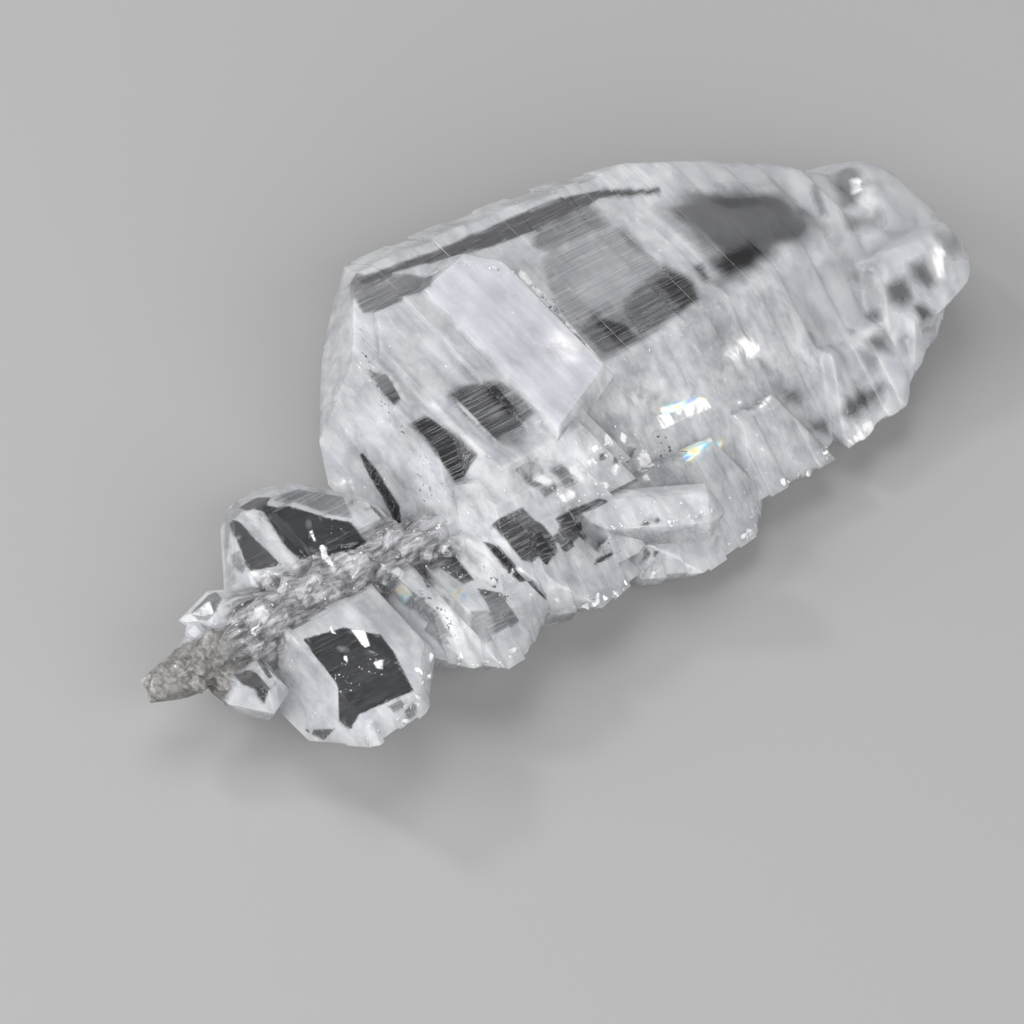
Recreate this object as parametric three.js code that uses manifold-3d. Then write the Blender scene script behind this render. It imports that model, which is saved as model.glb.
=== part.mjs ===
// A faden quartz: flat crystals of rock crystal grown side by side across one white thread.
//
// Millimetres. +X runs along the thread, +Y along the c-axis that all the big crystals share,
// and +Z stands up from the prism face that the group rests on. The origin is under the middle
// of the whole group, on that face.
//
// Everything is one grown-together piece, so each crystal is a convex body cut out of a block by
// its own crystal faces, and all of them are joined into a single solid.

import * as THREE from 'three';
import { mergeVertices } from 'three/addons/utils/BufferGeometryUtils.js';
import Module from 'manifold-3d';

const wasm = await Module();
wasm.setup();

// ---- Driving dimensions -------------------------------------------------------------------

const PLATE_TOP = 7.4;          // upper prism face of the main plate, above the face it rests on
const THREAD_HEIGHT = 4.0;      // middle of the thread above the resting face
const THREAD_SIDE = -1.0;       // where the thread lies across the group
const THREAD_TIP = -25.3;       // broken left end of the thread
const BLANK_SIZE = 80;          // block that every crystal is cut from

// How far a quartz face leans back from upright, by the way its girdle edge runs.
const PRISM_LEAN = 30;          // edge along the c-axis
const CHISEL_LEAN = 51.8;       // edge square to the c-axis
const CORNER_LEAN = 23.1;       // edge at an angle to both
const ALONG_AXIS = 0.93;        // share of an edge's normal that makes it one of the first two

const SLICE_OVERLAP = 0.05;     // by which neighbouring slices of a crystal reach into each other
const TOOTH_GROWTH = [0.05, 0.22, 0.0, 0.15, 0.3, 0.08, 0.2];

// ---- From geometry to solids and back -----------------------------------------------------

function toSolid(geometry) {
  const bare = geometry.clone();
  bare.deleteAttribute('normal');
  bare.deleteAttribute('uv');
  const merged = mergeVertices(bare, 1e-4);
  return new wasm.Manifold(
    new wasm.Mesh({
      numProp: 3,
      vertProperties: new Float32Array(merged.attributes.position.array),
      triVerts: new Uint32Array(merged.index.array),
    }),
  );
}

function toGeometry(solid) {
  const mesh = solid.getMesh();
  const geometry = new THREE.BufferGeometry();
  geometry.setAttribute('position', new THREE.BufferAttribute(mesh.vertProperties, 3));
  geometry.setIndex(new THREE.BufferAttribute(mesh.triVerts, 1));
  geometry.computeVertexNormals();
  return geometry;
}

// Keeps the part of a solid behind the plane through a point with an outward normal.
function cutBehind(solid, normal, point) {
  const inward = normal.clone().negate();
  return solid.trimByPlane(inward.toArray(), inward.dot(point));
}

// ---- A crystal ----------------------------------------------------------------------------

function lean(outward) {
  if (Math.abs(outward.x) > ALONG_AXIS) return PRISM_LEAN;
  if (Math.abs(outward.y) > ALONG_AXIS) return CHISEL_LEAN;
  return CORNER_LEAN;
}

// A crystal is given by its girdle, the widest line round it: corners clockwise from above, each
// with the height of the edge that starts there. Two faces meet at each girdle edge and lean back
// from it, one up and one down, and flat prism faces close the crystal at its top and bottom.
// Growth moves the front and back faces out.
function crystal({ girdle, top, bottom, front = 0, back = 0 }) {
  let body = toSolid(new THREE.BoxGeometry(BLANK_SIZE, BLANK_SIZE, BLANK_SIZE));
  girdle.forEach(([x, y, height], i) => {
    const [nextX, nextY] = girdle[(i + 1) % girdle.length];
    const outward = new THREE.Vector3(y - nextY, nextX - x, 0).normalize();
    const middle = new THREE.Vector3((x + nextX) / 2, (y + nextY) / 2, height);
    const growth = outward.y > 0 ? back * outward.y : -front * outward.y;
    middle.addScaledVector(outward, growth);
    const angle = THREE.MathUtils.degToRad(lean(outward));
    for (const side of [1, -1]) {
      const normal = outward.clone().multiplyScalar(Math.cos(angle));
      normal.z = side * Math.sin(angle);
      body = cutBehind(body, normal, middle);
    }
  });
  body = cutBehind(body, new THREE.Vector3(0, 0, 1), new THREE.Vector3(0, 0, top));
  return cutBehind(body, new THREE.Vector3(0, 0, -1), new THREE.Vector3(0, 0, bottom));
}

// The part of a crystal between two upright cuts across the thread, with a little to join it by.
function slice(body, left, right) {
  const leftCut = new THREE.Vector3(left - SLICE_OVERLAP, 0, 0);
  const rightCut = new THREE.Vector3(right + SLICE_OVERLAP, 0, 0);
  const trimmed = cutBehind(body, new THREE.Vector3(-1, 0, 0), leftCut);
  return cutBehind(trimmed, new THREE.Vector3(1, 0, 0), rightCut);
}

// A crystal with small teeth along its front and back: even slices, each grown a little further
// or less far than the one beside it.
function toothed(shape) {
  if (!shape.teeth) return crystal(shape);
  const across = shape.girdle.map(([x]) => x);
  const left = Math.min(...across);
  const width = (Math.max(...across) - left) / shape.teeth;
  let whole = null;
  for (let i = 0; i < shape.teeth; i++) {
    const growth = TOOTH_GROWTH[i % TOOTH_GROWTH.length];
    const grown = crystal({ ...shape, front: growth, back: growth });
    const part = slice(grown, left + i * width, left + (i + 1) * width);
    whole = whole ? whole.add(part) : part;
  }
  return whole;
}

// A girdle at one height.
function level(z, outline) {
  return outline.map(([x, y]) => [x, y, z]);
}

// ---- The main plate -----------------------------------------------------------------------

// The girdle lies low at the front and high at the back, so the upper front face is a broad
// slope and the upper back face only a narrow rim.
const PLATE_GIRDLE = [
  [-9.6, -2.6, 2.0],
  [-9.6, 7.6, 3.2],
  [-3.5, 16.0, 5.6],
  [4.0, 15.4, 5.6],
  [10.4, 14.7, 5.6],
  [15.4, 11.7, 5.4],
  [20.3, 8.6, 4.6],
  [22.6, 6.6, 4.0],
  [22.8, -0.8, 2.4],
  [20.6, -2.9, 2.0],
  [17.6, -4.7, 1.8],
  [13.9, -5.8, 1.5],
  [-6.9, -5.8, 1.5],
];

// The plate is a stack of thin parallel crystals, side by side along the thread, each grown a
// little further or higher than the next. That gives its borders their small teeth.
const LAMELLAE = [
  { left: -11.0, right: -7.6, drop: 0.1, front: 0.16, back: 0.0, foot: 0.3 },
  { left: -7.6, right: -5.2, drop: 0.06, front: 0.22, back: 0.12, foot: 0.0 },
  { left: -5.2, right: -3.4, drop: 0.0, front: 0.17, back: 0.26, foot: 0.0 },
  { left: -3.4, right: -1.9, drop: 0.05, front: 0.25, back: 0.1, foot: 0.15 },
  { left: -1.9, right: 0.3, drop: 0.0, front: 0.18, back: 0.3, foot: 0.0 },
  { left: 0.3, right: 1.6, drop: 0.06, front: 0.24, back: 0.14, foot: 0.25 },
  { left: 1.6, right: 3.4, drop: 0.0, front: 0.2, back: 0.34, foot: 0.0 },
  { left: 3.4, right: 5.3, drop: 0.04, front: 0.23, back: 0.16, foot: 0.0 },
  { left: 5.3, right: 7.1, drop: 0.0, front: 0.26, back: 0.3, foot: 0.2 },
  { left: 7.1, right: 8.6, drop: 0.0, front: 0.2, back: 0.05, foot: 0.0 },
  { left: 8.6, right: 9.9, drop: 0.08, front: 0.15, back: 0.25, foot: 0.3 },
  { left: 9.9, right: 11.3, drop: 0.05, front: 0.05, back: 0.0, foot: 0.2 },
  { left: 11.3, right: 13.1, drop: 0.09, front: -0.1, back: 0.22, foot: 0.0 },
  { left: 13.1, right: 14.6, drop: 0.06, front: -0.25, back: 0.05, foot: 0.0 },
  { left: 14.6, right: 16.8, drop: 0.1, front: -0.45, back: 0.2, foot: 0.0 },
  { left: 16.8, right: 18.3, drop: 0.16, front: -0.65, back: 0.0, foot: 0.35 },
  { left: 18.3, right: 20.1, drop: 0.35, front: -0.8, back: 0.15, foot: 0.2 },
  { left: 20.1, right: 23.6, drop: 0.7, front: -0.95, back: 0.0, foot: 0.5 },
];

function lamella({ left, right, drop, front, back, foot }) {
  const plate = crystal({
    girdle: PLATE_GIRDLE,
    top: PLATE_TOP - drop,
    bottom: foot,
    front,
    back,
  });
  return slice(plate, left, right);
}

// ---- Terraces on the left half of the plate -----------------------------------------------

// Long steps along the c-axis climb to the right, up to one broad highest terrace.
const TERRACES = [
  {
    girdle: level(5.6, [
      [-6.3, -4.4], [-6.3, 8.2], [-4.4, 11.6], [-1.6, 13.4], [1.4, 13.4], [1.4, -4.4],
    ]),
    top: 7.75,
  },
  {
    girdle: level(5.6, [
      [-3.6, -3.2], [-3.6, 11.0], [-1.6, 13.6], [2.0, 13.4], [2.0, -3.2],
    ]),
    top: 7.95,
  },
  {
    girdle: [
      [-2.5, -2.4, 6.0], [-2.5, 12.8, 6.0], [0.2, 13.6, 6.0], [2.2, 12.2, 6.0],
      [4.4, 9.6, 6.0], [4.4, 1.0, 7.3],
    ],
    top: 8.2,
  },
];
const TERRACE_FOOT = 5.0;

// ---- Smaller crystals beside and in front of the plate --------------------------------------

const SIDE_CRYSTALS = {
  // Low, broad crystal that stands out in front of the plate's slope.
  frontApron: {
    girdle: level(1.6, [
      [8.3, 0], [8.3, -5.6], [6.4, -7.9], [2.6, -8.4], [-0.2, -6.9], [-1.2, -5.0], [-1.2, 0],
    ]),
    teeth: 9,
    top: 4.7,
    bottom: 0.6,
  },
  frontApronStep: {
    girdle: level(2.0, [[12.4, 0], [12.4, -6.3], [7.2, -6.5], [7.2, 0]]),
    teeth: 5,
    top: 4.4,
    bottom: 0.7,
  },
  rightApron: {
    girdle: level(2.0, [
      [21.4, 1.0], [21.4, -1.6], [18.9, -4.3], [17.2, -5.6], [13.2, -6.5], [13.2, 1.0],
    ]),
    teeth: 8,
    top: 5.3,
    bottom: 0.9,
  },
  rightApronStep: {
    girdle: level(2.4, [[23.4, 1.0], [23.4, -1.0], [21.6, -2.9], [18.9, -4.2], [18.0, 1.0]]),
    teeth: 5,
    top: 4.9,
    bottom: 1.1,
  },
  // Left half of the plate's front, where the flat upper face runs on past the thread.
  leftFront: {
    girdle: level(3.8, [
      [0.8, 3.0], [0.8, -6.6], [-0.4, -7.2], [-5.4, -7.1], [-7.3, -5.6], [-8.0, -3.8], [-8.0, 3.0],
    ]),
    top: 7.0,
    bottom: 1.0,
  },
  frontLeft: {
    girdle: level(3.0, [
      [-0.6, 0], [-0.6, -7.6], [-3.6, -8.4], [-6.2, -7.1], [-6.9, -5.6], [-6.9, 0],
    ]),
    teeth: 6,
    top: 6.1,
    bottom: 1.2,
  },
  // Flat crystals side by side, left of the plate in front of the thread.
  leftMiddle: {
    girdle: level(3.5, [
      [-5.8, 0], [-5.8, -6.6], [-7.2, -8.0], [-8.1, -8.1], [-8.8, -7.3], [-8.8, 0],
    ]),
    top: 5.4,
    bottom: 1.7,
  },
  leftInner: {
    girdle: level(3.5, [
      [-5.8, 0], [-5.8, -6.9], [-7.5, -8.4], [-8.6, -9.2], [-10.0, -9.3], [-10.9, -8.4],
      [-10.9, 0],
    ]),
    teeth: 5,
    top: 4.9,
    bottom: 1.7,
  },
  leftOuter: {
    girdle: level(3.7, [
      [-9.9, 0], [-9.9, -8.9], [-11.4, -8.4], [-12.8, -6.6], [-13.2, -5.0], [-13.2, 0],
    ]),
    teeth: 3,
    top: 5.6,
    bottom: 2.0,
  },
  // Clear tablet in front of the thread, near the broken end.
  frontTablet: {
    girdle: [
      [-12.5, 0.4, 4.2], [-12.5, -6.8, 4.4], [-15.2, -10.2, 4.9], [-18.4, -10.7, 4.9],
      [-20.3, -10.0, 3.4], [-20.4, -8.4, 2.2], [-20.2, 0.4, 3.0],
    ],
    teeth: 7,
    top: 5.6,
    bottom: 1.3,
  },
  frontTabletChip: {
    girdle: level(3.6, [
      [-19.4, 0], [-19.4, -4.6], [-20.9, -5.4], [-22.4, -3.6], [-22.6, -2.6], [-22.6, 0],
    ]),
    top: 4.7,
    bottom: 2.4,
  },
  // Clear tablet behind the thread, in two steps.
  backTablet: {
    girdle: level(3.6, [
      [-18.5, -1.6], [-18.5, 2.7], [-16.4, 6.2], [-15.2, 7.2], [-13.5, 7.4], [-11.6, 5.4],
      [-9.0, 2.2], [-9.0, -1.6],
    ]),
    top: 5.3,
    bottom: 1.6,
  },
  backTabletStep: {
    girdle: level(3.9, [
      [-15.6, -1.6], [-15.6, 4.3], [-14.4, 6.2], [-13.2, 6.2], [-9.4, 1.9], [-9.4, -1.6],
    ]),
    top: 5.7,
    bottom: 2.0,
  },
  // Knobs at the far end of the thread.
  backKnob: {
    girdle: level(4.4, [
      [17.2, 2.0], [17.2, 8.2], [21.9, 9.2], [24.6, 8.2], [25.3, 5.6], [25.5, 2.4], [24.6, 1.2],
    ]),
    top: 6.4,
    bottom: 1.9,
  },
  endKnob: {
    girdle: level(4.0, [
      [18.4, -3.2], [18.4, 3.0], [25.3, 3.2], [25.8, 0.4], [24.7, -2.0], [21.4, -3.1],
    ]),
    top: 5.9,
    bottom: 2.2,
  },
};

// ---- Small prisms and pyramids --------------------------------------------------------------

// A six-sided crystal with a point at one end, laid along a direction from its root.
function smallPrism({ root, towards, length, radius, pointLength }) {
  const profile = [
    new THREE.Vector2(0, 0),
    new THREE.Vector2(radius, 0),
    new THREE.Vector2(radius, length - pointLength),
    new THREE.Vector2(0, length),
  ];
  const geometry = new THREE.LatheGeometry(profile, 6);
  const turn = new THREE.Quaternion().setFromUnitVectors(
    new THREE.Vector3(0, 1, 0),
    new THREE.Vector3(...towards).normalize(),
  );
  geometry.applyQuaternion(turn);
  geometry.translate(...root);
  return toSolid(geometry);
}

const SMALL_PRISMS = [
  // The one large enough to notice, lying across the front slope.
  { root: [-1.6, -4.4, 4.4], towards: [0.85, -0.5, 0.02], length: 6.9, radius: 1.45, pointLength: 0.9 },
  { root: [-17.2, -0.6, 4.2], towards: [-0.9, 0.41, 0.08], length: 5.2, radius: 1.35, pointLength: 1.6 },
  { root: [-19.0, -0.8, 3.6], towards: [-0.75, 0.5, -0.1], length: 3.6, radius: 0.8, pointLength: 0.8 },
  { root: [-21.2, -1.4, 3.8], towards: [-0.3, -0.9, -0.2], length: 2.6, radius: 0.6, pointLength: 0.5 },
  { root: [21.0, 3.4, 4.6], towards: [0.6, 0.3, 0.7], length: 3.2, radius: 1.2, pointLength: 1.0 },
];

// ---- The thread ---------------------------------------------------------------------------

// Outside the crystals the thread is a rough, lumpy rod, thin at its broken end. Its thickness
// swells and narrows in ripples round and along it.
const THREAD_PROFILE = [
  // distance from the tip, radius
  [0.0, 0.0], [0.0, 0.6], [0.6, 0.95], [1.6, 1.15], [3.2, 1.3], [5.0, 1.6], [7.5, 1.8],
  [12.0, 1.9], [15.0, 1.75], [18.0, 1.1], [18.5, 0.0],
];
const THREAD_ROUND = 20;
const THREAD_STEP = 0.55;

function ripple(along, angle) {
  return (
    0.11 * Math.sin(2.3 * along + 3 * angle) +
    0.09 * Math.sin(4.1 * along - 5 * angle + 1.3) +
    0.06 * Math.sin(7.7 * along + 2 * angle + 0.4)
  );
}

function thread() {
  const profile = [];
  THREAD_PROFILE.forEach(([along, radius], i) => {
    profile.push(new THREE.Vector2(radius, along));
    const next = THREAD_PROFILE[i + 1];
    if (!next) return;
    const steps = Math.floor((next[0] - along) / THREAD_STEP);
    for (let step = 1; step < steps; step++) {
      const share = step / steps;
      const between = THREE.MathUtils.lerp(radius, next[1], share);
      profile.push(new THREE.Vector2(between, THREE.MathUtils.lerp(along, next[0], share)));
    }
  });
  const geometry = new THREE.LatheGeometry(profile, THREAD_ROUND);
  const place = geometry.attributes.position;
  for (let i = 0; i < place.count; i++) {
    const point = new THREE.Vector3().fromBufferAttribute(place, i);
    const angle = Math.atan2(point.z, point.x);
    const swell = 1 + ripple(point.y, angle);
    const slip = point.y < 0.1 ? 0.4 * Math.sin(7 * point.x + 5 * point.z) : 0;
    place.setXYZ(i, point.x * swell, point.y + slip, point.z * swell);
  }
  geometry.rotateZ(-Math.PI / 2);
  geometry.translate(THREAD_TIP, THREAD_SIDE, THREAD_HEIGHT);
  return toSolid(geometry);
}

// Tiny crystals sprout from the thread on both sides, pointing along the c-axis.
const SPROUTS = 24;
const SPROUT_SPACING = 0.66;
const FIRST_SPROUT = 2.0;

function sprout(i) {
  const side = i % 2 ? 1 : -1;
  return {
    root: [THREAD_TIP + FIRST_SPROUT + i * SPROUT_SPACING, THREAD_SIDE, THREAD_HEIGHT],
    towards: [0.35 * Math.sin(1.7 * i), side, 0.35 + 0.55 * Math.sin(2.9 * i)],
    length: 2.0 + 0.035 * i + 0.35 * Math.sin(4.3 * i),
    radius: 0.46 + 0.14 * Math.sin(3.1 * i),
    pointLength: 0.35,
  };
}

// ---- Pits ----------------------------------------------------------------------------------

// Gaps left open between the crystals in front: small slanting notches.
const PITS = [
  { at: [-2.3, -5.6, 5.0], size: [1.0, 1.8, 1.6], turn: 30 },
  { at: [0.4, -8.0, 3.4], size: [1.6, 0.8, 1.4], turn: -25 },
  { at: [-3.6, -6.2, 5.2], size: [0.7, 1.3, 0.9], turn: 12 },
];

function pit({ at, size, turn }) {
  const geometry = new THREE.BoxGeometry(...size);
  geometry.rotateX(THREE.MathUtils.degToRad(turn));
  geometry.rotateZ(THREE.MathUtils.degToRad(turn));
  geometry.translate(...at);
  return toSolid(geometry);
}

// ---- The whole group ------------------------------------------------------------------------

let cluster = thread();
for (const one of LAMELLAE) cluster = cluster.add(lamella(one));
for (const one of TERRACES) cluster = cluster.add(crystal({ ...one, bottom: TERRACE_FOOT }));
for (const one of Object.values(SIDE_CRYSTALS)) cluster = cluster.add(toothed(one));
for (const one of SMALL_PRISMS) cluster = cluster.add(smallPrism(one));
for (let i = 0; i < SPROUTS; i++) cluster = cluster.add(smallPrism(sprout(i)));
for (const one of PITS) cluster = cluster.subtract(pit(one));

const geometry = toGeometry(cluster);
geometry.computeBoundingBox();
const { min, max } = geometry.boundingBox;
geometry.translate(-(min.x + max.x) / 2, -(min.y + max.y) / 2, -min.z);

const quartz = new THREE.Mesh(
  geometry,
  new THREE.MeshStandardMaterial({ color: 0xe6e8ec, roughness: 0.12, metalness: 0 }),
);
quartz.name = 'faden_quartz';

const group = new THREE.Group();
group.add(quartz);

export default group;
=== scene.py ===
import math
import random

import bpy
from mathutils import Matrix, Vector, noise


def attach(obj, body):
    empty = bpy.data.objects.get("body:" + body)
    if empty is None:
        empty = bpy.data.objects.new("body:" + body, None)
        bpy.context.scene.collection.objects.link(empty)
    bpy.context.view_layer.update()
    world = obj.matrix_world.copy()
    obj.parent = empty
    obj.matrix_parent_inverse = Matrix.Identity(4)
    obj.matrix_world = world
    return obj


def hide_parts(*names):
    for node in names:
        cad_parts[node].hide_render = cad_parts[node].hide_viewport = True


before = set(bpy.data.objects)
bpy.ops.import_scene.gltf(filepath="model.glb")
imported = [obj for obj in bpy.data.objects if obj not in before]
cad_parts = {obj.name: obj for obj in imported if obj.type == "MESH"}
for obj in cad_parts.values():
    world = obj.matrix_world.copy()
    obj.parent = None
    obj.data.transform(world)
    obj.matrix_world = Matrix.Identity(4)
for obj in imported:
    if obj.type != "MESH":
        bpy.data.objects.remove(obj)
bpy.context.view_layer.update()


# ---- The quartz ----
# One plate of quartz with smaller crystals grown into it, all a single body of colourless quartz.
# It grew sideways from a thread: its flat faces stayed clear here and there, and the rest is milky.
# Nothing holds it: it lies on its lowest flat face.
MM = 0.001
QUARTZ_IOR = 1.544

# Places are in millimetres: X along the thread, Y along the c-axis, and Z up from the table. The
# thread lies at this Y and Z, and its rounded end starts at this X.
THREAD_Y = -3.63
THREAD_Z = 4.0
SMOOTH_WEST = 10

# Edges that stand out are worn, but not those of narrow steps.
WELD = 0.002 * MM
FLAT_ENOUGH = math.radians(0.8)
EDGE_WIDTH = 0.025 * MM
EDGE_ANGLE = math.radians(14)
SHORTEST_WORN = 0.15 * MM
NARROW_STEP = 0.13 * MM

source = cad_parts["faden_quartz"]
bpy.ops.object.select_all(action="DESELECT")
crystal = bpy.data.objects.new("quartz_crystal", source.data.copy())
bpy.context.scene.collection.objects.link(crystal)
bpy.context.view_layer.objects.active = crystal
crystal.select_set(True)
crystal.data.materials.clear()
bpy.ops.mesh.customdata_custom_splitnormals_clear()
bpy.ops.object.mode_set(mode="EDIT")
bpy.ops.mesh.select_all(action="SELECT")
bpy.ops.mesh.remove_doubles(threshold=WELD)
bpy.ops.mesh.dissolve_limited(angle_limit=FLAT_ENOUGH)
bpy.ops.mesh.select_mode(type="EDGE")
bpy.ops.mesh.select_all(action="DESELECT")
bpy.ops.object.mode_set(mode="OBJECT")


def width_of(mesh, face):
    """How wide a long, narrow face is, about."""
    corners = [mesh.vertices[index].co for index in face.vertices]
    around = sum((start - end).length for start, end in zip(corners, corners[1:] + corners[:1]))
    return 2 * face.area / around


def outward_edges(mesh):
    """How worn each edge is: 1 where two wide faces meet at an outward edge that is still sharp."""
    sides = {}
    for face in mesh.polygons:
        for key in face.edge_keys:
            sides.setdefault(key, []).append(face)
    worn = []
    for edge in mesh.edges:
        first, second = (sides[edge.key] + sides[edge.key])[:2]
        sharp = first.normal.angle(second.normal, 0.0) > EDGE_ANGLE
        outward = (second.center - first.center).dot(first.normal) < 0
        start, end = (mesh.vertices[index].co for index in edge.vertices)
        long = (start - end).length > SHORTEST_WORN
        wide = min(width_of(mesh, first), width_of(mesh, second)) > NARROW_STEP
        worn.append(float(sharp and outward and long and wide and start.x < SMOOTH_WEST * MM))
    return worn


weights = crystal.data.attributes.new("bevel_weight_edge", "FLOAT", "EDGE")
weights.data.foreach_set("value", outward_edges(crystal.data))
worn_edges = crystal.modifiers.new("worn_edges", "BEVEL")
worn_edges.width = EDGE_WIDTH
worn_edges.segments = 1
worn_edges.limit_method = "WEIGHT"
worn_edges.use_clamp_overlap = False
bpy.ops.object.modifier_apply(modifier="worn_edges")
bpy.ops.object.mode_set(mode="EDIT")
bpy.ops.mesh.select_all(action="SELECT")
bpy.ops.mesh.quads_convert_to_tris(quad_method="BEAUTY", ngon_method="BEAUTY")
bpy.ops.mesh.dissolve_degenerate(threshold=WELD)
bpy.ops.object.mode_set(mode="OBJECT")


def step(value, low, high):
    """0 below low, 1 above high, and a smooth step between them."""
    share = min(max((value - low) / (high - low), 0.0), 1.0)
    return share * share * (3 - 2 * share)


def halve_edges(piece, chosen, passes):
    """Cuts in two the edges that chosen picks, again and again, and keeps the mesh in triangles."""
    bpy.ops.object.mode_set(mode="EDIT")
    bpy.ops.mesh.select_mode(type="EDGE")
    bpy.ops.mesh.select_all(action="SELECT")
    bpy.ops.mesh.quads_convert_to_tris(quad_method="BEAUTY", ngon_method="BEAUTY")
    for _ in range(passes):
        bpy.ops.mesh.select_all(action="DESELECT")
        bpy.ops.object.mode_set(mode="OBJECT")
        picks = chosen(piece.data)
        piece.data.edges.foreach_set("select", picks)
        bpy.ops.object.mode_set(mode="EDIT")
        if not any(picks):
            break
        bpy.ops.mesh.subdivide(number_cuts=1, ngon=False)
        bpy.ops.mesh.select_all(action="SELECT")
        bpy.ops.mesh.quads_convert_to_tris(quad_method="SHORTEST_DIAGONAL", ngon_method="BEAUTY")
    bpy.ops.object.mode_set(mode="OBJECT")


# The ridge reaches this far from the middle of the thread, and fades out over these lengths.
RIDGE_REACH = (1.9, 2.7)
RIDGE_EAST_END = (-9.5, -7.5)
# A small clear crystal stands on the ridge here.
SMOOTH_POINT = Vector((-21.2, -1.5, 4.6))
SMOOTH_REACH = (1.5, 2.2)


def roughness_of_ridge(point):
    """How much a point belongs to the rough ridge of the thread, from 0 to 1."""
    x, y, z = point / MM
    away = math.hypot(y - THREAD_Y, z - THREAD_Z)
    on_thread = (1 - step(away, *RIDGE_REACH)) * (1 - step(x, *RIDGE_EAST_END))
    return on_thread * step((point / MM - SMOOTH_POINT).length, *SMOOTH_REACH)


# Longest edges of the mesh: anywhere, on the rounded end above its foot, and on the ridge.
LONGEST_EDGE = 1.1 * MM
SMOOTH_EDGE = 0.36 * MM
SMOOTH_FOOT = 1.5 * MM
RIDGE_EDGE = 0.3 * MM


def long_edges(mesh):
    """Picks the edges that are longer than their place allows."""
    picks = []
    for edge in mesh.edges:
        start, end = (mesh.vertices[index].co for index in edge.vertices)
        middle = (start + end) / 2
        limit = LONGEST_EDGE
        if middle.x > SMOOTH_WEST * MM and middle.z > SMOOTH_FOOT:
            limit = SMOOTH_EDGE
        if roughness_of_ridge(middle) > 0.1:
            limit = RIDGE_EDGE
        picks.append((start - end).length > limit)
    return picks


halve_edges(crystal, long_edges, 9)


def select_vertices(piece, chosen):
    """Selects the vertices whose place, in millimetres, is one that chosen takes."""
    bpy.ops.object.mode_set(mode="EDIT")
    bpy.ops.mesh.select_mode(type="VERT")
    bpy.ops.mesh.select_all(action="DESELECT")
    bpy.ops.object.mode_set(mode="OBJECT")
    piece.data.vertices.foreach_set("select", [chosen(vertex.co / MM) for vertex in piece.data.vertices])
    bpy.ops.object.mode_set(mode="EDIT")


# The far end of the thread is rounded, as if melted, and more so towards its tip. Each rounding has
# where it starts along X, the Y that it stays below, and how often it is repeated.
WHOLE_WIDTH = 20
ROUNDINGS = (
    (11.0, WHOLE_WIDTH, 2),
    (12.4, -1.5, 6),
    (15.0, WHOLE_WIDTH, 3),
    (18.0, WHOLE_WIDTH, 3),
    (20.5, WHOLE_WIDTH, 3),
)
RESTING_FACE = 0.3
for west, north, repeat in ROUNDINGS:
    select_vertices(
        crystal,
        lambda place: place.x > west + 0.6 * noise.noise(place)
        and place.y < north
        and place.z > RESTING_FACE,
    )
    bpy.ops.mesh.vertices_smooth(factor=0.5, repeat=repeat)
    bpy.ops.object.mode_set(mode="OBJECT")

# The thread's broken end is blunt and worn.
BLUNT_EAST = -23.6
select_vertices(crystal, lambda place: place.x < BLUNT_EAST + 0.4 * noise.noise(place))
bpy.ops.mesh.vertices_smooth(factor=0.5, repeat=14)
bpy.ops.object.mode_set(mode="OBJECT")

# The ridge is lumpy, least so at the broken end. The lumps are long ones that run with the thread,
# so the crystal is squeezed while they are made.
BROKEN_END = (-25.4, -20.5)
STRAND = 0.4
GRAINS_AND_HEIGHTS = ((0.7, 0.23), (0.3, 0.09))
ridge = crystal.vertex_groups.new(name="ridge")
for vertex in crystal.data.vertices:
    share = roughness_of_ridge(vertex.co) * (0.1 + 0.9 * step(vertex.co.x / MM, *BROKEN_END))
    if share > 0:
        ridge.add([vertex.index], share, "REPLACE")
bpy.ops.object.mode_set(mode="EDIT")
bpy.ops.mesh.select_all(action="SELECT")
bpy.ops.transform.resize(value=(STRAND, 1, 1), center_override=(0, 0, 0))
bpy.ops.object.mode_set(mode="OBJECT")
for grain_size, height in GRAINS_AND_HEIGHTS:
    clouds = bpy.data.textures.new("ridge_grain", "CLOUDS")
    clouds.noise_scale = grain_size * MM
    clouds.noise_depth = 2
    lumps = crystal.modifiers.new("lumps", "DISPLACE")
    lumps.texture = clouds
    lumps.texture_coords = "LOCAL"
    lumps.vertex_group = "ridge"
    lumps.strength = height * MM
    bpy.ops.object.modifier_apply(modifier="lumps")
bpy.ops.object.mode_set(mode="EDIT")
bpy.ops.mesh.select_all(action="SELECT")
bpy.ops.transform.resize(value=(1 / STRAND, 1, 1), center_override=(0, 0, 0))
bpy.ops.object.mode_set(mode="OBJECT")

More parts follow.
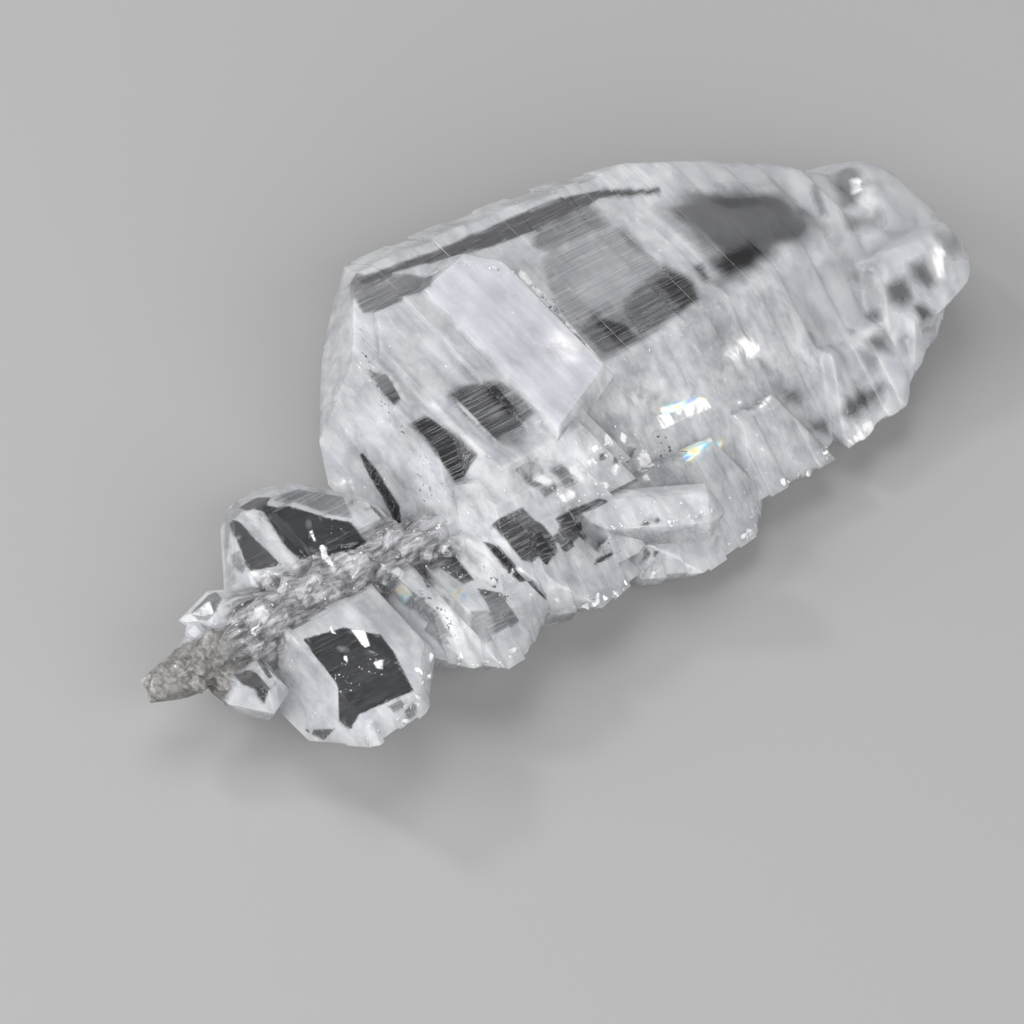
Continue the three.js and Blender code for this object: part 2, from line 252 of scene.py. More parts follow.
# Each patch has how strong it is, how much painted shade darkens the quartz under it, how soft its
# border is in millimetres, and its outline seen from above. The quartz is clear, darkened by painted
# shade as it has no colour of its own; broken and bright, white veils in part and painted highlights
# in part; covered by a thin film with rainbow colours; or speckled, with chips painted dark.
CLEAR_PATCHES = (
    # narrow patches between the left wall and the steps
    (0.85, 0.35, 0.1, ((-6.3, 5.3), (-5.7, 4.5), (-5.9, 2.9), (-6.6, 2.6), (-6.6, 3.8))),
    (0.95, 0.45, 0.11, (
        (-6.6, 1.1), (-5.7, 1.2), (-5.3, -0.5), (-5.2, -2.7), (-5.7, -2.6), (-6.5, -2.6), (-6.7, -1.2),
    )),
    (0.82, 0.36, 0.22, (
        (-4.3, 1.5), (-2.9, 1.3), (-1.6, 0.6), (-1.4, -0.9), (-1.5, -2.3), (-2.7, -2.6), (-4.1, -2.6),
        (-4.3, -0.4),
    )),
    (0.97, 0.5, 0.15, ((-2.5, 0.8), (-1.8, 0.2), (-2.1, -1.7), (-2.7, -1.6), (-2.7, -0.3))),
    (0.4, 0.1, 0.2, ((-3.3, -1.6), (-2.1, -1.8), (-2.2, -3), (-3.2, -3.5), (-4, -2.9))),
    (0.75, 0.25, 0.08, ((-4.3, -4.5), (-3.1, -4.6), (-2.7, -6.2), (-3.6, -6.2), (-4, -5.4))),
    (0.7, 0.25, 0.08, ((-2.65, -5.1), (-1.9, -5.15), (-1.65, -6.25), (-2.45, -6.25))),
    (0.85, 0.45, 0.15, (
        (-3.2, 11.6), (-2.5, 10.6), (-1, 9.8), (-0.1, 8.6), (-0.9, 7.6), (-2.3, 8), (-3.4, 8.1),
        (-4.3, 8.7), (-4.1, 10),
    )),
    (1, 0.7, 0.12, (
        (-3.5, 11), (-0.8, 10.5), (1.7, 10.2), (4.9, 10), (8.5, 9.7), (10.5, 9), (13.1, 7.4), (12.9, 7),
        (10.1, 8.5), (8.3, 8.2), (5.8, 8.5), (3, 8.9), (0.4, 9.7), (-1.5, 10.1), (-3.2, 10.2),
    )),
    (0.8, 0.4, 0.35, ((7.7, 9.7), (9.6, 9), (9.5, 6.6), (5.8, 6.6), (5.3, 7.6))),
    (0.55, 0.15, 0.15, (
        (5.2, 6.7), (9.4, 6.4), (9.8, 5.8), (10, 3), (10.3, -0.2), (6.9, -0.9), (3.6, -1), (3.2, 0.9),
        (4.3, 4.6),
    )),
    (0.92, 0.5, 0.25, ((4, 1.7), (5.1, 2), (6.1, 0.6), (6.1, -0.7), (4.3, -0.8), (3.7, -0.8))),
    (0.92, 0.5, 0.3, (
        (6.6, 2), (8.3, 2.4), (10.2, 2.9), (10.5, 1.1), (10.2, -0.2), (7.3, -0.7), (6.1, -0.6),
    )),
    (0.85, 0.4, 0.4, ((9.5, 6.3), (10, 6.1), (10, 4.1), (9.3, 3.8), (9.2, 4.8))),
    (0.8, 0.35, 0.2, ((11.15, 1.95), (11.8, 1.8), (11.45, 0.75), (11, 0.6))),
    (0.97, 0.6, 0.7, (
        (12.3, 6.2), (14, 6), (16.4, 5), (17.8, 3.9), (18.2, 2.7), (18.3, 0.8), (17.4, 0.2),
        (15.5, 0.3), (12.4, -0.1), (11.9, 0), (12.2, 1.6), (12.6, 3.2), (12.3, 4.6),
    )),
    # patches at the smooth end, dark by painted shade
    (0.77, 0.51, 0.45, ((21.5, 3.9), (22.8, 4.1), (22.6, 2.5), (21.2, 1.1), (20.4, 1.3), (20.7, 2.5))),
    (0.77, 0.43, 0.26, ((19.75, 3.3), (20.05, 3.2), (19.2, 1.2), (18.75, 1.25))),
    (0.72, 0.43, 0.41, ((20, 0.9), (21.5, 0.6), (22.1, 0.3), (21.5, 0), (19.8, 0.1))),
    (0.57, 0.36, 0.41, ((23.6, -2.25), (24.85, -2.6), (24.6, -3.45), (23.35, -3.3))),
    (0.87, 0.58, 0.38, ((21.3, -3.2), (22.25, -3.15), (22.2, -4.3), (21.5, -4.55), (21, -3.8))),
    (0.92, 0.65, 0.38, ((19.3, -3.2), (20.55, -3.75), (20.5, -4.5), (19.9, -4.8), (19.1, -4.35))),
    (0.57, 0.29, 0.45, ((18.9, -1.2), (19.8, -2.2), (19.4, -3), (18.7, -1.9))),
    (0.87, 0.58, 0.22, ((18.45, -3.25), (18.75, -4), (18.55, -4.4), (18.25, -3.75))),
    (0.97, 0.65, 0.26, ((20.15, -4.85), (20.8, -4.9), (21.15, -5.45), (20.35, -5.65))),
    (0.82, 0.58, 0.34, ((17.1, -5.05), (18.2, -5.25), (18, -6.1), (17.05, -5.75))),
    (0.92, 0.58, 0.38, ((13.8, -7.5), (15.2, -7.1), (16.9, -6.9), (17, -7.3), (15.7, -7.7), (13.9, -8))),
    (0.72, 0.43, 0.3, ((11.85, -5.2), (12.5, -5.4), (12.35, -5.85), (11.7, -5.65))),
    (0.67, 0.43, 0.3, ((12.35, -6.8), (13.25, -7.1), (12.95, -7.5), (12.15, -7.2))),
    (0.57, 0.36, 0.45, ((16.45, -5.6), (17.35, -5.9), (16.85, -6.6), (16.05, -6.5))),
    # clear faces in front
    (0.95, 0.5, 0.05, (
        (-6.7, -5.9), (-6.4, -6.1), (-4.9, -6.1), (-4.2, -7.9), (-4.4, -8.4), (-5.4, -8.9),
        (-5.6, -8.3), (-6.2, -7.9), (-6.5, -7),
    )),
    (0.9, 0.5, 0.05, (
        (-4.3, -7.8), (-3.7, -7.6), (-3.7, -7.2), (-2.8, -7.1), (-1, -7.2), (-0.8, -7.7), (-2.2, -7.4),
        (-2.6, -7.6), (-2.1, -7.7), (-2.9, -8.2), (-3.9, -8.5), (-4.2, -8.1),
    )),
    (1, 0.6, 0.04, ((-7.2, -5.9), (-7.1, -6.1), (-6.8, -6.8), (-6.6, -8), (-7.3, -8.4), (-7.4, -7))),
    (0.95, 0.6, 0.04, (
        (-7.2, -8.4), (-6.85, -8.35), (-6.2, -8.75), (-5.9, -9.65), (-6.15, -9.6), (-6.25, -8.9),
        (-6.9, -8.9),
    )),
    (0.9, 0.55, 0.06, ((-9.6, -5.7), (-8.6, -5.5), (-8.7, -7.4), (-9.3, -7.3), (-9.5, -6.5))),
    (0.85, 0.45, 0.05, (
        (-8.9, -7.9), (-8.1, -8.9), (-8.3, -9.8), (-8.2, -10.6), (-9.7, -10.7), (-9.4, -10), (-9.1, -9),
    )),
    (0.5, 0.25, 0.08, (
        (-10, -9), (-9.3, -9.4), (-9.4, -10.1), (-9.7, -10.8), (-10.4, -10.8), (-10.4, -9.6),
    )),
    (0.75, 0.45, 0.08, (
        (-12.6, -4.9), (-12.1, -5.4), (-11.7, -9), (-11.6, -9.8), (-12.2, -9.4), (-12.5, -6.8),
    )),
    (0.7, 0.4, 0.06, (
        (-12.5, -8.5), (-12.1, -8.5), (-11.95, -9.05), (-11.9, -10.05), (-12.3, -9.5), (-12.45, -8.85),
    )),
    (1, 0.6, 0.04, (
        (-3.1, -9.45), (-2.6, -9.3), (-2.1, -9.3), (-1.55, -9.3), (-1.75, -9.4), (-2.55, -9.5),
    )),
    (0.8, 0.5, 0.08, (
        (-0.1, -9.4), (0.15, -9.55), (0.9, -9.55), (0.85, -9.8), (0.6, -9.75), (0.35, -9.25),
    )),
    (0.45, 0.2, 0.06, ((3.2, -10.8), (5.15, -9.4), (4.45, -9.95), (3.15, -11.05))),
    (0.85, 0.5, 0.04, ((-11.7, -6.9), (-11.6, -7), (-11.7, -7.65), (-11.8, -7.55))),
    (0.85, 0.5, 0.04, ((-11.1, -6.5), (-10.5, -5.8), (-11.1, -7.1), (-11.3, -7.05))),
    (0.8, 0.5, 0.04, ((0.15, -5.5), (0.55, -5.55), (0.35, -5.85), (-0.05, -5.75))),
    (0.8, 0.5, 0.04, ((2.7, -4.4), (3.05, -4.65), (2.65, -4.85), (1.95, -5.25))),
    (0.8, 0.5, 0.04, ((0.6, -6), (1.4, -5.55), (2.05, -5.05), (0.6, -6.35))),
    # gash in the left wall
    (1, 0.6, 0.04, (
        (-8.3, 3.3), (-8.2, 2.9), (-8.3, 1.35), (-8.5, -0.55), (-9.3, -2.2), (-8.9, -0.75),
        (-8.75, 0.4), (-8.55, 2.1),
    )),
    (1, 0.6, 0.04, ((-10.6, -1.1), (-10.2, -0.85), (-10.2, -1.7), (-10.55, -2.05))),
    (0.5, 0.45, 0.06, (
        (-10.8, 0.5), (-10.65, 0.25), (-11.35, -0.75), (-10.55, -1.15), (-10.65, -1.25),
        (-11.55, -0.85),
    )),
    # back tablet
    (1, 0.9, 0.04, (
        (-15.3, 1.9), (-14.5, 2.3), (-12.6, -0.6), (-11.9, -1.4), (-11.9, -2.8), (-12.7, -2.9),
        (-13.4, -3.2), (-13.9, -2.5), (-15.2, -1.7), (-15.3, 0),
    )),
    (0.7, 0.42, 0.08, ((-14.3, 2.6), (-12.6, 2.2), (-11.2, 0.6), (-11.7, -1.2), (-12.5, -0.4), (-13.8, 2))),
    (1, 0.8, 0.04, ((-15.3, 3.7), (-14.2, 3.6), (-14, 2.6), (-14.4, 2.3), (-14.9, 2), (-15.4, 2.7))),
    (1, 0.8, 0.04, (
        (-16.4, 2.9), (-16.2, 1.9), (-16.2, 0.6), (-16.1, -1.5), (-17.6, -0.9), (-17.4, -0.1),
        (-16.8, 1.8),
    )),
    (0.7, 0.5, 0.06, ((-17.45, 1.1), (-17.4, 0.4), (-17.5, -0.5), (-17.8, -0.55), (-17.9, 0.2))),
    (0.5, 0.35, 0.06, (
        (-16, 3.8), (-14.8, 4.6), (-15.2, 3), (-16.5, 2.5), (-17.6, 1.2), (-18.1, -0.5), (-18.4, -0.1),
        (-17.5, 1.6),
    )),
    # front tablet
    (1, 0.85, 0.04, (
        (-18.1, -6.3), (-16, -6.8), (-15.8, -7.1), (-15.3, -7.7), (-14.8, -8.2), (-14.9, -9.4),
        (-15.5, -12.1), (-19, -11.8), (-19.1, -10.9), (-18.5, -10), (-18.3, -9.5), (-18.2, -7.6),
    )),
    (0.95, 0.6, 0.04, ((-20, -9.2), (-19.3, -10.9), (-19.8, -10.6))),
    (0.75, 0.5, 0.08, ((-17.1, -12.2), (-16.35, -12.2), (-16.25, -12.55), (-17.05, -12.6))),
    (0.75, 0.5, 0.08, ((-16.45, -12.65), (-15.8, -12.55), (-15.9, -12.95), (-16.55, -13.1))),
    (1, 0.75, 0.05, (
        (-21.7, -5.6), (-20.9, -5.8), (-20.7, -6.2), (-20.7, -7.4), (-21.2, -7.5), (-21.4, -6.8),
        (-21.7, -6.4),
    )),
    (1, 0.7, 0.04, ((-20.25, -5.5), (-20, -5.45), (-20.25, -7.15), (-20.45, -7.25), (-20.4, -6.45))),
    # small crystal beside the thread
    (0.85, 0.65, 0.04, (
        (-21.4, -1.4), (-20.4, -1.2), (-19.7, -1.1), (-19.9, -2), (-20.5, -2.3), (-21, -2.4),
        (-21.3, -1.9),
    )),
)
# Bright places: white veils and the thread seen inside, and painted highlights where lamps glint on rims
# and inner fractures.
BRIGHT_FRACTURES_AND_PAINTED_HIGHLIGHTS = (
    # an inner fracture, its white a painted reflection of the lamps
    (1, 0, 0.05, ((4.8, -3.9), (4.8, -4.5), (7.8, -4.6), (7.6, -4.1), (6.3, -4.1))),
    (1, 0, 0.1, ((8.9, -4.8), (9.85, -4.85), (10, -4.95), (9.1, -5))),
    (1, 0, 0.1, ((9.5, -5.9), (10.75, -5.15), (11.35, -5.15), (10.5, -5.85))),
    (1, 0, 0.45, ((9.6, -2.9), (10.6, -2.6), (11.6, -2.7), (12.1, -3.3), (11.5, -3.6), (10.3, -3.6))),
    (1, 0, 0.25, ((13.3, -8.5), (14.9, -8.3), (16.1, -8.1), (16.2, -8.6), (14.7, -8.9), (13.4, -8.9))),
    (0.9, 0, 0.55, ((1.5, 1), (2.6, 1.3), (2.8, 0.2), (2.1, -0.6), (1.5, -0.1))),
    (0.9, 0, 0.12, ((-9.35, 4.3), (-9, 2.95), (-9.15, 2.45), (-9.55, 3.8))),
    (0.75, 0, 0.12, ((-3.05, -6.35), (-2.35, -6.3), (-1.95, -6.55), (-2.2, -6.8), (-2.9, -6.75))),
    (1, 0, 0.08, ((0.2, -6.2), (0.75, -6.15), (0.9, -6.45), (0.35, -6.5))),
    (1, 0, 0.06, ((2.6, -5.1), (3.3, -4.8), (3.55, -5.15), (3.25, -6), (2.6, -5.9))),
    (1, 0, 0.2, ((22.8, -2.85), (23.5, -2.7), (23.65, -3.15), (22.8, -4.2), (22.3, -4.15))),
    (1, 0, 0.04, ((-6.75, -8), (-6.5, -8.05), (-6.25, -8.5), (-6.6, -8.25))),
    (0.75, 0, 0.08, ((-17.6, -0.95), (-16.85, -1.35), (-16.5, -1.85), (-17.3, -2.2), (-17.6, -1.2))),
    (0.6, 0, 0.08, ((-19.05, -3.45), (-18.6, -3.6), (-18.5, -4.15), (-19.1, -4.4), (-19.3, -4))),
    (1, 0, 0.04, ((-15.8, -7.15), (-15.3, -7.55), (-15.45, -8.05), (-15.9, -9.05), (-15.9, -8.15))),
    (1, 0, 0.04, ((-16.1, -9.5), (-15.6, -9.6), (-16.1, -10.25), (-16.2, -10))),
    (1, 0, 0.03, (
        (-16.45, -6.35), (-16.6, -7.1), (-16.65, -7.7), (-16.75, -7.7), (-16.75, -7.1), (-16.6, -6.4),
    )),
    (1, 0, 0.03, ((-16.7, -7.75), (-16.65, -7.8), (-17.1, -8.75), (-17.65, -9.5), (-17.25, -8.7))),
    (1, 0, 0.03, ((-17.8, -10.7), (-17.75, -10.8), (-18.35, -11.55), (-18.4, -11.5))),
    (1, 0, 0.03, (
        (-13.5, 0), (-13.45, -0.15), (-13.85, -0.85), (-14.15, -1.7), (-14.15, -1.95), (-14.2, -1.7),
        (-13.95, -0.75),
    )),
    (1, 0, 0.03, (
        (-14, -1.7), (-13.85, -1.55), (-13.9, -2.35), (-14.25, -3.25), (-14.3, -2.95), (-14.25, -2.2),
    )),
    (0.6, 0, 0.03, ((-21.4, -1.45), (-20.5, -1.6), (-20.65, -2.3), (-21, -2.1))),
    (0.7, 0, 0.06, ((4, 6.7), (3.9, 3.3), (3.6, -1.2), (2.9, -1.9), (3.3, 2.7), (3.6, 6.5))),
    (0.5, 0, 0.05, ((-5.25, 1.4), (-5.1, 1.25), (-4.9, -3.05), (-5.2, -3))),
    (0.45, 0, 0.05, ((-4.2, 1.3), (-4, 1.3), (-3.95, -2.8), (-4.25, -2.95))),
    # the thread seen inside
    (0.35, 0, 0.8, (
        (-7.6, -3.4), (-1.4, -4.4), (7.5, -3), (14.4, -3), (14.5, -4), (7.4, -4.1), (-1.5, -5.8),
        (-7.9, -4.7),
    )),
    (1, 0, 0.05, ((-0.1, -5.15), (0.3, -5.1), (0.35, -5.35), (-0.05, -5.35))),
    (1, 0, 0.05, ((1.05, -4.65), (2.15, -3.85), (1.4, -5.05), (1, -4.95))),
    (1, 0, 0.05, ((2.75, -3.8), (2.95, -4.05), (2.65, -4.3), (2.4, -4.05))),
    (1, 0, 0.05, ((-0.65, -5.55), (-0.25, -5.5), (-0.15, -5.8), (-0.6, -5.8))),
    (1, 0, 0.05, ((2.05, -6.45), (2.45, -6.35), (2.35, -6.85), (1.9, -6.9))),
    (1, 0, 0.05, ((-0.45, -6.5), (-0.1, -6.5), (-0.1, -6.8), (-0.65, -6.9))),
    (0.45, 0, 0.05, ((-5.65, 4.7), (-5.45, 4.65), (-6.05, 1.7), (-6.3, 1.65))),
    (1, 0, 0.3, ((22.1, 2.9), (22.6, 2.65), (21.9, 1.6), (21.55, 1.9))),
    (0.55, 0, 0.1, ((-8.3, -5.1), (-7.2, -5), (-7.1, -5.4), (-7.3, -8.3), (-8.2, -8.1), (-8.6, -6.8))),
    (0.45, 0, 0.08, ((-7, -5.1), (-6.75, -5.35), (-6.2, -8.15), (-6.6, -8.15))),
    (0.55, 0, 0.1, (
        (-10.3, -5.8), (-10.2, -6.6), (-10, -8.9), (-10.8, -10.2), (-11.6, -10.1), (-11.6, -8.7),
    )),
    (0.45, 0, 0.06, ((-15.7, 2.7), (-14.9, 2), (-15.5, -2.3), (-16.3, -2.7), (-15.8, 1.1))),
    (0.5, 0, 0.5, ((2.2, -2.7), (5, -2.2), (7.4, -3.2), (5.2, -3.8), (3.1, -3.2))),
    (0.6, 0, 0.15, ((-1.9, -5.6), (-0.9, -5.4), (-0.1, -5.9), (0.2, -6.6), (-0.9, -6.7), (-1.8, -6.2))),
    (0.6, 0, 0.15, ((-3.7, -5.1), (-2.65, -5.15), (-2.45, -5.85), (-3.35, -5.95))),
    (0.7, 0, 0.15, ((-0.05, -6.95), (0.75, -7), (0.95, -7.6), (-0.05, -7.75))),
)
RAINBOW_FILMS = (
    (0.45, 0, 0.12, ((-12.4, -5.8), (-12, -6.1), (-12, -7.05), (-12.45, -6.85))),
    (0.45, 0, 0.12, ((-10.1, -7.3), (-9.55, -7.4), (-9.65, -8.15), (-10.2, -8.1))),
    (1, 0, 0.1, (
        (5.1, -3.65), (5.9, -3.75), (7.45, -4), (7.8, -4.25), (7.5, -4.2), (6.2, -4.15), (5.15, -4.1),
    )),
    (1, 0, 0.15, ((5, -5.6), (5.7, -5.7), (7.5, -5.9), (7.3, -6.2), (5.3, -6.9), (4.7, -7), (4.4, -6.8))),
)
# Strips of small chips, painted dark with a painted dark reflection.
SPECKLED_STRIPS = (
    # specks beside the steps
    (1, 0, 0.15, (
        (-4.65, 8.45), (-4.8, 7.55), (-5.45, 6.25), (-6.35, 4.55), (-6.75, 2.55), (-6.95, -0.2),
        (-6.95, -2.65), (-6.9, -3.45), (-7.15, -3.25), (-7.2, -1.65), (-7.05, 1.05), (-6.9, 3.05),
        (-6.55, 5.1), (-5.55, 7.35),
    )),
    (0.8, 0, 0.12, (
        (2.6, 7.2), (4.3, 6.5), (4.5, 2.8), (4.2, 0.1), (3.8, -0.2), (3, 1.9), (3.1, 5.1), (2.1, 6.6),
    )),
    (1, 0, 0.15, ((-7.6, -0.45), (-7.35, -0.8), (-7.45, -2), (-7.65, -2.45), (-7.95, -2), (-7.8, -1.1))),
    (1, 0, 0.15, ((-6.2, -0.9), (-6.05, -1.4), (-5.85, -2.25), (-6.1, -3.75), (-6.4, -3.65), (-6.35, -2))),
    (1, 0, 0.15, ((-7.9, -6.6), (-7.9, -7.7), (-7.85, -9.5), (-8.25, -9.55), (-8.25, -7.8))),
    (1, 0, 0.15, (
        (-11.3, -6.75), (-11.3, -7.85), (-11.35, -9.45), (-11.25, -10.1), (-11.65, -9.8),
        (-11.85, -8.75), (-11.7, -7.55),
    )),
    (1, 0, 0.15, ((4.4, -4.3), (4.9, -4.5), (4.9, -5.2), (3.9, -6.6), (3.4, -6.4), (4, -5.1))),
    (1, 0, 0.15, ((-2.7, -8.8), (-1, -9), (0.35, -9.65), (-0.2, -9.55), (-1.65, -9.45))),
)
PLATEAU_FOOT = 8.1  # the highest terrace, which is lilac


def depth_inside(x, y, outline):
    """Distance from the outline, above 0 inside it and below 0 outside."""
    within = False
    nearest = math.inf
    for i, (ax, ay) in enumerate(outline):
        bx, by = outline[i - 1]
        across, along = bx - ax, by - ay
        share = ((x - ax) * across + (y - ay) * along) / max(across * across + along * along, 1e-9)
        share = min(max(share, 0.0), 1.0)
        nearest = min(nearest, math.hypot(ax + share * across - x, ay + share * along - y))
        if (ay > y) != (by > y) and x < ax + (y - ay) * across / along:
            within = not within
    return nearest if within else -nearest


class Patches:
    """A group of patches of one kind."""

    def __init__(self, rows):
        self.rows = []
        for strength, grey, soft, outline in rows:
            xs = [x for x, _ in outline]
            ys = [y for _, y in outline]
            margin = 2.5 * soft
            limits = (min(xs) - margin, max(xs) + margin, min(ys) - margin, max(ys) + margin)
            self.rows.append((strength, grey, soft, outline, limits))

    def near(self, x, y):
        """Whether a patch of the group may reach this place."""
        return any(west < x < east and south < y < north for *_, (west, east, south, north) in self.rows)

    def at(self, x, y):
        """The strength and the painted shade at this place."""
        strength_here = 0.0
        painted_shade_here = 0.0
        for strength, grey, soft, outline, (west, east, south, north) in self.rows:
            if west < x < east and south < y < north:
                drift = 0.6 * soft * noise.noise((1.1 * x, 0.8 * y, 3.0))
                drift += 0.03 * noise.noise((6 * x, 2 * y, 7.0))
                share = step(depth_inside(x, y, outline) + drift, -soft, soft)
                strength_here = max(strength_here, share * strength)
                painted_shade_here = max(painted_shade_here, share * grey)
        return strength_here, painted_shade_here


clear_patches = Patches(CLEAR_PATCHES)
bright_fractures_and_painted_highlights = Patches(BRIGHT_FRACTURES_AND_PAINTED_HIGHLIGHTS)
rainbow_films = Patches(RAINBOW_FILMS)
speckled_strips = Patches(SPECKLED_STRIPS)
kinds = (clear_patches, bright_fractures_and_painted_highlights, rainbow_films, speckled_strips)
# The same five shares as finish_at gives, for faces that look down.
UNDERSIDE = (0.35, 0.0, 0.0, 0.0, 0.0)


def finish_at(x, y):
    """Clear, painted shade, bright, rainbow and speckled shares of the upper side at this place."""
    clear, grey = clear_patches.at(x, y)
    bright, _ = bright_fractures_and_painted_highlights.at(x, y)
    rainbow, _ = rainbow_films.at(x, y)
    speckled, _ = speckled_strips.at(x, y)
    return clear, grey, bright, rainbow, speckled


known = []  # the look at each vertex, by its number


def look_up(mesh):
    """Works out the look at every vertex that has none yet."""
    for vertex in mesh.vertices[len(known):]:
        x, y, z = vertex.co / MM
        known.append(finish_at(x, y) if vertex.normal.z > 0 else UNDERSIDE)


# An edge near a patch is at most this long, and one across which the look changes by more than a
# share is cut further, down to the shortest.
PATCH_EDGE = 0.5 * MM
SHORTEST_EDGE = 0.14 * MM
FAST_CHANGE = 0.35


def borders(mesh):
    """Picks the edges across which the look of the upper side changes too fast."""
    look_up(mesh)
    picks = []
    for edge in mesh.edges:
        start, end = edge.vertices
        first, last = mesh.vertices[start], mesh.vertices[end]
        length = (first.co - last.co).length
        middle = (first.co + last.co) / 2 / MM
        if middle.x > SMOOTH_WEST + 0.5:
            picks.append(False)
            continue
        patched = length > PATCH_EDGE and first.normal.z > 0
        patched = patched and any(kind.near(middle.x, middle.y) for kind in kinds)
        change = max(abs(a - b) for a, b in zip(known[start], known[end]))
        picks.append(patched or (change > FAST_CHANGE and length > SHORTEST_EDGE))
    return picks


SOFT_ANGLE = math.radians(24)
halve_edges(crystal, borders, 6)
bpy.ops.object.shade_smooth_by_angle(angle=SOFT_ANGLE, keep_sharp_edges=False)

# The white core of the thread: how far it reaches to each side, and where it starts, grows
# stronger and ends along the ridge.
CORE_REACH = (0.25, 1.1)
CORE_START = (-21.0, -19.0)
CORE_STRONGER = (-14.5, -12.5)
CORE_END = (-8.2, -6.6)


def whiteness_of_thread(point):
    """How much a point lies on the white core of the thread, from 0 to 1."""
    x, y, z = point / MM
    aside = abs(y - THREAD_Y - 0.5 * noise.noise((0.45 * x, 0.0, 4.0)))
    core = (1 - step(aside, *CORE_REACH)) * step(z, THREAD_Z, THREAD_Z + 0.6)
    strength = 0.6 + 0.25 * step(x, *CORE_STRONGER)
    return core * step(x, *CORE_START) * strength * (1 - step(x, *CORE_END))


# Limits on how far up a face looks, from -1 to 1.
OVERHANG = -0.3
NEARLY_LEVEL = 0.9


def paint(piece):
    """Keeps the look of the quartz on every corner of the mesh."""
    mesh = piece.data
    look_up(mesh)
    names = ("clear", "grey", "bright", "rainbow", "speckled", "lilac", "rough", "core")
    rough = [roughness_of_ridge(vertex.co) for vertex in mesh.vertices]
    core = [whiteness_of_thread(vertex.co) for vertex in mesh.vertices]
    values = {name: [] for name in names}
    for face in mesh.polygons:
        below = face.normal.z < OVERHANG
        on_plateau = face.normal.z > NEARLY_LEVEL and face.center.z / MM > PLATEAU_FOOT
        for corner in face.loop_indices:
            vertex = mesh.loops[corner].vertex_index
            look = UNDERSIDE if below else known[vertex]
            for name, value in zip(names, (*look, float(on_plateau), rough[vertex], core[vertex])):
                values[name].append(value)
    for name in names:
        mesh.attributes.new(name, "FLOAT", "CORNER").data.foreach_set("value", values[name])


class Wire:
    """One output in a material's nodes. A sum on it adds a Math node; | is the larger, & the smaller."""

    def __init__(self, finish, socket):
        self.finish = finish
        self.socket = socket

    def maths(self, operation, *terms):
        settings = {"operation": operation}
        return self.finish.node("ShaderNodeMath", settings, dict(enumerate(terms)))

    def __add__(self, other):
        return self.maths("ADD", self, other)

    def __radd__(self, other):
        return self.maths("ADD", other, self)

    def __sub__(self, other):
        return self.maths("SUBTRACT", self, other)

    def __rsub__(self, other):
        return self.maths("SUBTRACT", other, self)

    def __mul__(self, other):
        return self.maths("MULTIPLY", self, other)

    def __rmul__(self, other):
        return self.maths("MULTIPLY", other, self)

    def __or__(self, other):
        return self.maths("MAXIMUM", self, other)

    def __and__(self, other):
        return self.maths("MINIMUM", self, other)

    def rise(self, low, high):
        """0 below low, 1 above high, and a smooth step between them."""
        settings = {"interpolation_type": "SMOOTHSTEP"}
        return self.finish.node("ShaderNodeMapRange", settings, {0: self, 1: low, 2: high})

    def output(self, name):
        return Wire(self.finish, self.socket.node.outputs[name])


class Finish:
    """A material under construction."""

    def __init__(self, name):
        self.material = bpy.data.materials.new(name)
        self.material.use_nodes = True
        self.tree = self.material.node_tree
        self.tree.nodes.clear()

    def node(self, kind, settings=None, inputs=None, output=0):
        """Adds a node of this type, with its settings first, then the values or links of its sockets."""
        made = self.tree.nodes.new(kind)
        for key, value in (settings or {}).items():
            if key == "stops":
                for place, colour in value[2:]:
                    made.color_ramp.elements.new(place)
                for stop, (place, colour) in zip(made.color_ramp.elements, value):
                    stop.position = place
                    stop.color = colour
            else:
                setattr(made, key, value)
        for key, value in (inputs or {}).items():
            if isinstance(value, Wire):
                self.tree.links.new(value.socket, made.inputs[key])
            else:
                made.inputs[key].default_value = value
        return Wire(self, made.outputs[output]) if made.outputs else None

    def attribute(self, name):
        """A share that paint keeps on the mesh."""
        return self.node("ShaderNodeAttribute", {"attribute_name": name}).output("Fac")

    def place(self):
        """The point on the piece, in millimetres."""
        point = self.node("ShaderNodeTexCoord").output("Object")
        return self.vector("SCALE", point, {"Scale": 1 / MM})

    def vector(self, operation, first, rest):
        return self.node("ShaderNodeVectorMath", {"operation": operation}, {0: first, **rest})

    def noise(self, point, stretch, detail=3.0, roughness=0.55, distortion=0.0):
        """Noise whose grain per millimetre along X, Y and Z is given by stretch."""
        inputs = {
            "Vector": self.vector("MULTIPLY", point, {1: stretch}),
            "Scale": 1.0,
            "Detail": detail,
            "Roughness": roughness,
            "Distortion": distortion,
        }
        return self.node("ShaderNodeTexNoise", None, inputs)

    def colour(self, share, low, high):
        """From one colour to another by a share."""
        settings = {"data_type": "RGBA"}
        return self.node("ShaderNodeMix", settings, {0: share, 6: low, 7: high}, output=2)

    def principled(self, **sockets):
        named = {name.replace("_", " "): value for name, value in sockets.items()}
        return self.node("ShaderNodeBsdfPrincipled", None, named)

    def mixed(self, share, first, second):
        return self.node("ShaderNodeMixShader", None, {0: share, 1: first, 2: second})

    def surface(self, shader):
        self.node("ShaderNodeOutputMaterial", None, {"Surface": shader})
        return self.material


